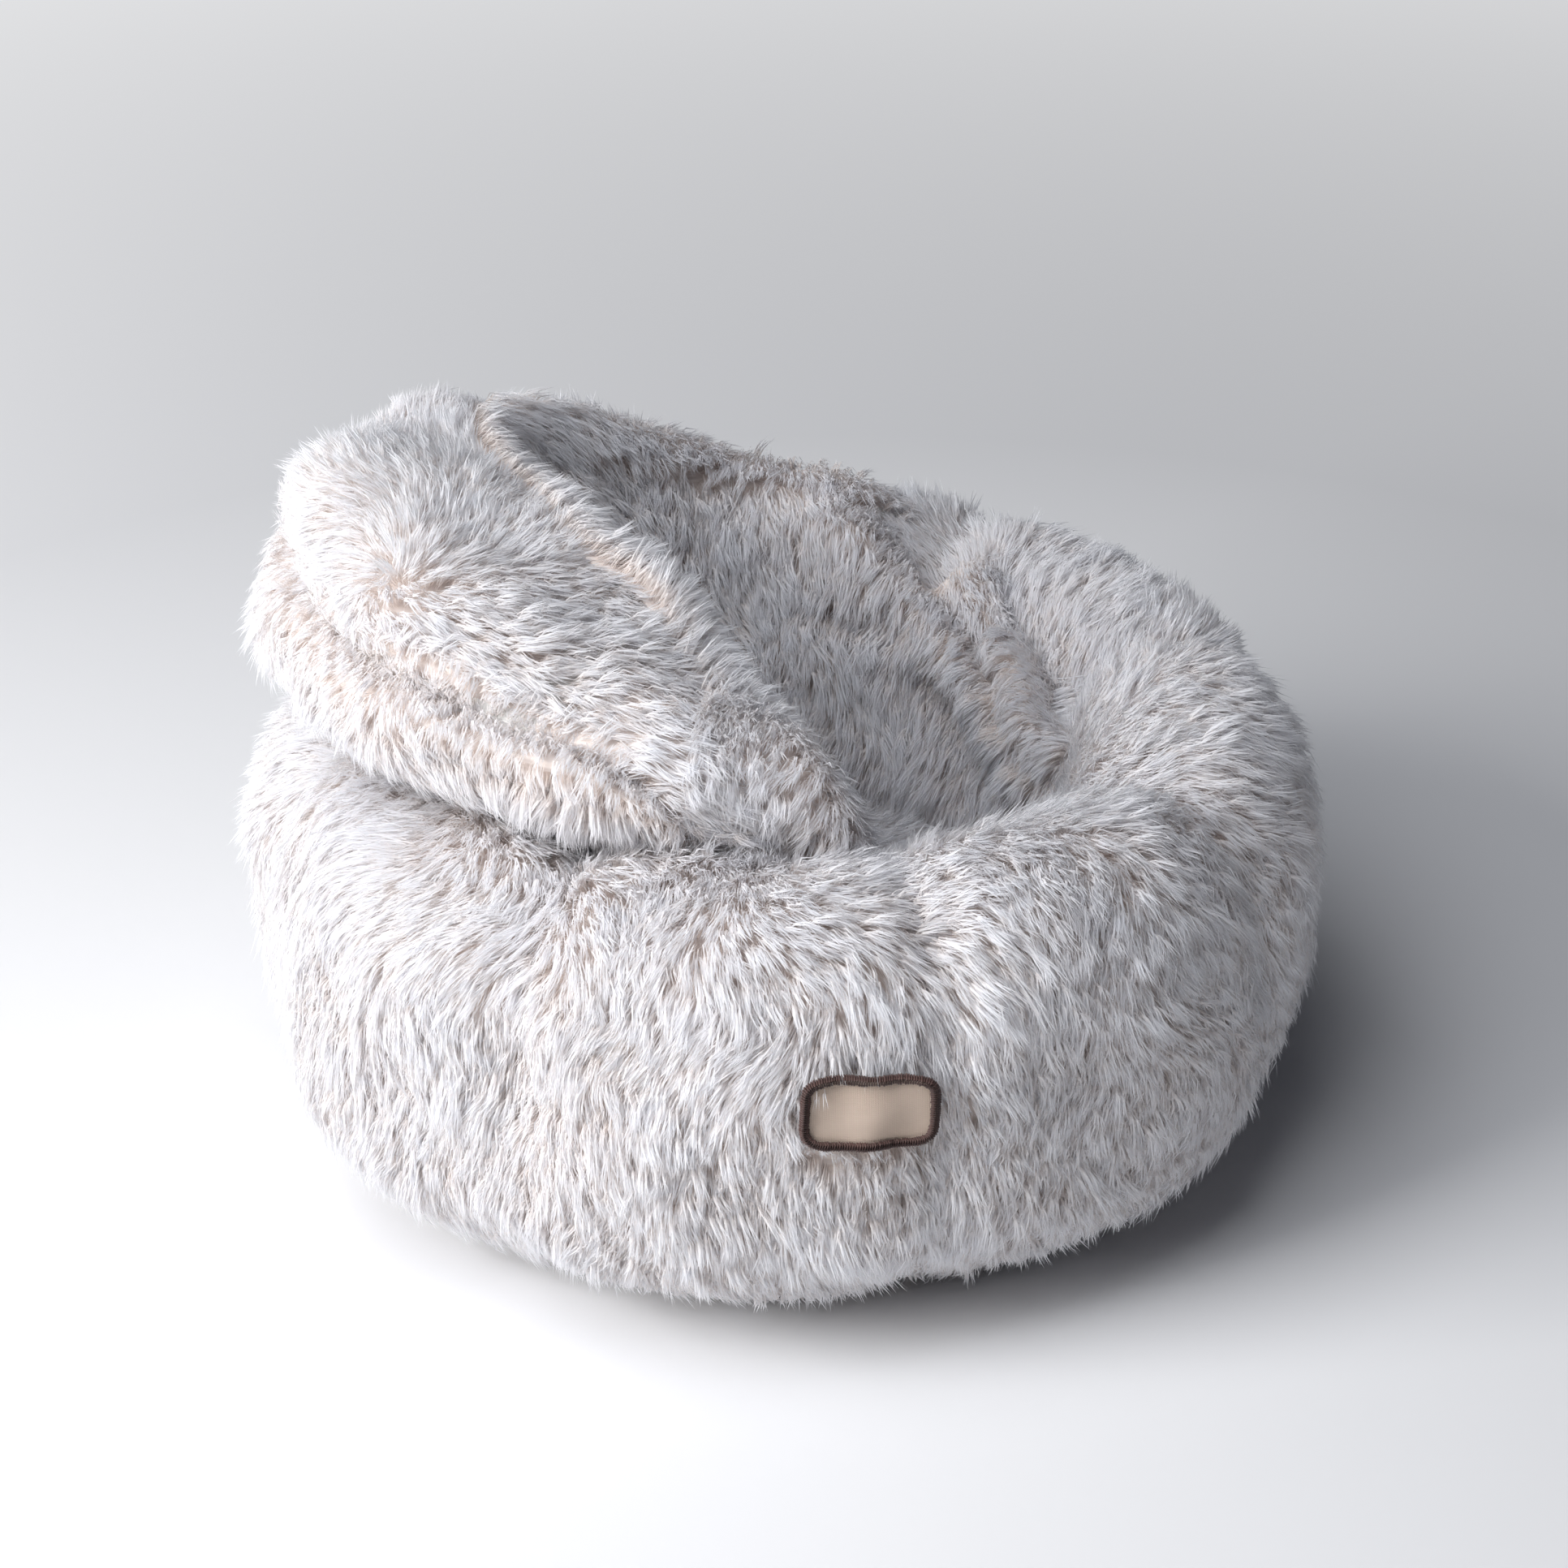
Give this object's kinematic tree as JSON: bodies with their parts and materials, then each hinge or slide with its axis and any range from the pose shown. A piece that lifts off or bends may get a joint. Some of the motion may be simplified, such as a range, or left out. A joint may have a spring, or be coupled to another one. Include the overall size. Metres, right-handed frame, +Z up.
{
  "type": "hooded pet cushion bed",
  "caption": "Round bolster pet bed in long-pile cream plush with a floor cushion and a padded half hood that stands on the rim and leans back.",
  "frame": {"origin": "centre of the underside, where the bed rests on the floor", "axes": "+Z up, -Y towards the front, where the label is, +X towards the side the hood opens to"},
  "size_m": [0.4994, 0.5037, 0.3366],
  "materials": {
    "plush": "matte",
    "fibre_fill": "matte",
    "base_cloth": "matte",
    "label_cloth": "satin",
    "label_edging": "matte"
  },
  "bodies": {
    "bed": {"base_panel": "base_cloth", "rim_gore_1": "plush", "rim_gore_2": "plush", "rim_gore_3": "plush", "rim_gore_4": "plush", "rim_gore_5": "plush", "rim_gore_6": "plush", "rim_gore_7": "plush", "rim_gore_8": "plush", "rim_fill": "fibre_fill", "cushion_cover": "plush", "cushion_fill": "fibre_fill", "hollow_lining": "plush", "label_patch": "label_cloth", "label_border": "label_edging"},
    "hood": {"hood_skirt": "plush", "hood_panel_front": "plush", "hood_panel_back": "plush", "hood_padding_front": "fibre_fill", "hood_padding_back": "fibre_fill", "hood_lining_front": "plush", "hood_lining_back": "plush", "hood_lip": "plush"}
  },
  "joints": [
    {"name": "hood_fold", "type": "hinge", "parent": "bed", "child": "hood", "pos_m": [-0.1983, 0, 0.2224], "axis": [0, -1, 0], "range_deg": [0, 28]}
  ]
}
